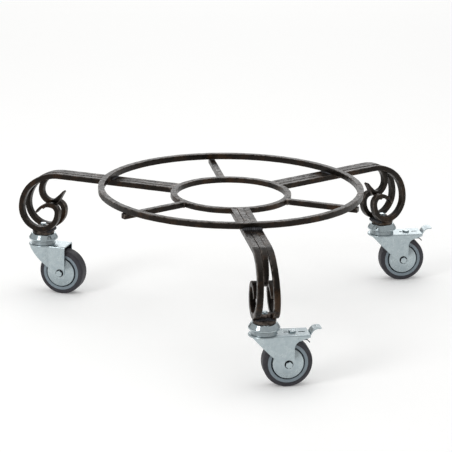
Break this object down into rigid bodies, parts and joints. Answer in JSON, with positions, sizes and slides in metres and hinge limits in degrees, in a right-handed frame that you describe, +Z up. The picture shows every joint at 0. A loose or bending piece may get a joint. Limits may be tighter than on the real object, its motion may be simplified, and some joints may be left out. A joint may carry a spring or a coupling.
{
  "type": "plant trolley",
  "caption": "Round wrought-iron trolley with scrolled bar legs, each ending in a swivel castor, for moving a heavy pot or drum.",
  "frame": {"origin": "on the floor, on the common axis of the two rings", "axes": "+Z up along the rings' axis, -Y out along the front leg, which has a braked castor"},
  "size_m": [0.7, 0.582, 0.217],
  "materials": {
    "wrought_iron": "dark brown forged iron, waxed, worn lighter on top",
    "zinc_pressing": "bright zinc plate on pressed steel",
    "zinc_fasteners": "zinc plated fasteners",
    "bearing_steel": "greased steel",
    "spring_steel": "blued spring wire",
    "grey_rubber": "dark grey rubber, matt",
    "wheel_centre_plastic": "blue-grey moulded plastic"
  },
  "bodies": {
    "frame": {"outer_ring": "wrought_iron", "inner_ring": "wrought_iron", "rear_spoke": "wrought_iron", "left_spoke": "wrought_iron", "right_spoke": "wrought_iron", "kingpin_bolts": "zinc_fasteners", "kingpin_nuts": "wrought_iron", "kingpin_washers": "zinc_fasteners", "front_leg_left_bar": "wrought_iron", "front_leg_middle_bar": "wrought_iron", "front_leg_right_bar": "wrought_iron", "front_castor_seat": "wrought_iron", "front_swivel_cap": "zinc_pressing", "front_kingpin_bush": "zinc_pressing", "right_leg_left_bar": "wrought_iron", "right_leg_middle_bar": "wrought_iron", "right_leg_right_bar": "wrought_iron", "right_castor_seat": "wrought_iron", "right_swivel_cap": "zinc_pressing", "right_kingpin_bush": "zinc_pressing", "left_leg_left_bar": "wrought_iron", "left_leg_middle_bar": "wrought_iron", "left_leg_right_bar": "wrought_iron", "left_castor_seat": "wrought_iron", "left_swivel_cap": "zinc_pressing", "left_kingpin_bush": "zinc_pressing"},
    "front_castor_fork": {"front_fork": "zinc_pressing", "front_swivel_balls": "bearing_steel", "front_thread_guards": "zinc_pressing", "front_axle_sleeve": "bearing_steel", "front_axle_bolt": "zinc_fasteners", "front_axle_nut": "zinc_fasteners", "front_brake_pin": "zinc_fasteners", "front_brake_spring": "spring_steel", "front_brake_adjuster": "zinc_fasteners"},
    "front_castor_wheel": {"front_tyre": "grey_rubber", "front_wheel_centre": "wheel_centre_plastic"},
    "front_brake_pedal": {"front_brake_pedal": "zinc_pressing"},
    "right_castor_fork": {"right_fork": "zinc_pressing", "right_swivel_balls": "bearing_steel", "right_thread_guards": "zinc_pressing", "right_axle_sleeve": "bearing_steel", "right_axle_bolt": "zinc_fasteners", "right_axle_nut": "zinc_fasteners", "right_brake_pin": "zinc_fasteners", "right_brake_spring": "spring_steel", "right_brake_adjuster": "zinc_fasteners"},
    "right_castor_wheel": {"right_tyre": "grey_rubber", "right_wheel_centre": "wheel_centre_plastic"},
    "right_brake_pedal": {"right_brake_pedal": "zinc_pressing"},
    "left_castor_fork": {"left_fork": "zinc_pressing", "left_swivel_balls": "bearing_steel", "left_thread_guards": "zinc_pressing", "left_axle_sleeve": "bearing_steel", "left_axle_bolt": "zinc_fasteners", "left_axle_nut": "zinc_fasteners"},
    "left_castor_wheel": {"left_tyre": "grey_rubber", "left_wheel_centre": "wheel_centre_plastic"}
  },
  "joints": [
    {"name": "front_swivel", "type": "hinge", "parent": "frame", "child": "front_castor_fork", "pos_m": [0, -0.331, 0.09], "axis": [0, 0, 1], "continuous": true},
    {"name": "front_wheel_spin", "type": "hinge", "parent": "front_castor_fork", "child": "front_castor_wheel", "pos_m": [0.035, -0.33063, 0.0375], "axis": [-0.0105, 0.9999, 0], "continuous": true},
    {"name": "front_brake_press", "type": "hinge", "parent": "front_castor_fork", "child": "front_brake_pedal", "pos_m": [0.05, -0.33048, 0.0763], "axis": [-0.0105, 0.9999, 0], "range_deg": [0, 20], "stiffness_Nm_per_rad": 0.08, "springref_deg": -5.73},
    {"name": "right_swivel", "type": "hinge", "parent": "frame", "child": "right_castor_fork", "pos_m": [0.28665, 0.1655, 0.09], "axis": [0, 0, 1], "continuous": true},
    {"name": "right_wheel_spin", "type": "hinge", "parent": "right_castor_fork", "child": "right_castor_wheel", "pos_m": [0.32165, 0.16623, 0.0375], "axis": [-0.0209, 0.9998, 0], "continuous": true},
    {"name": "right_brake_press", "type": "hinge", "parent": "right_castor_fork", "child": "right_brake_pedal", "pos_m": [0.33664, 0.16655, 0.0763], "axis": [-0.0209, 0.9998, 0], "range_deg": [0, 20], "stiffness_Nm_per_rad": 0.08, "springref_deg": -5.73},
    {"name": "left_swivel", "type": "hinge", "parent": "frame", "child": "left_castor_fork", "pos_m": [-0.28665, 0.1655, 0.09], "axis": [0, 0, 1], "continuous": true},
    {"name": "left_wheel_spin", "type": "hinge", "parent": "left_castor_fork", "child": "left_castor_wheel", "pos_m": [-0.2552, 0.15016, 0.0375], "axis": [0.4384, 0.8988, 0], "continuous": true}
  ]
}
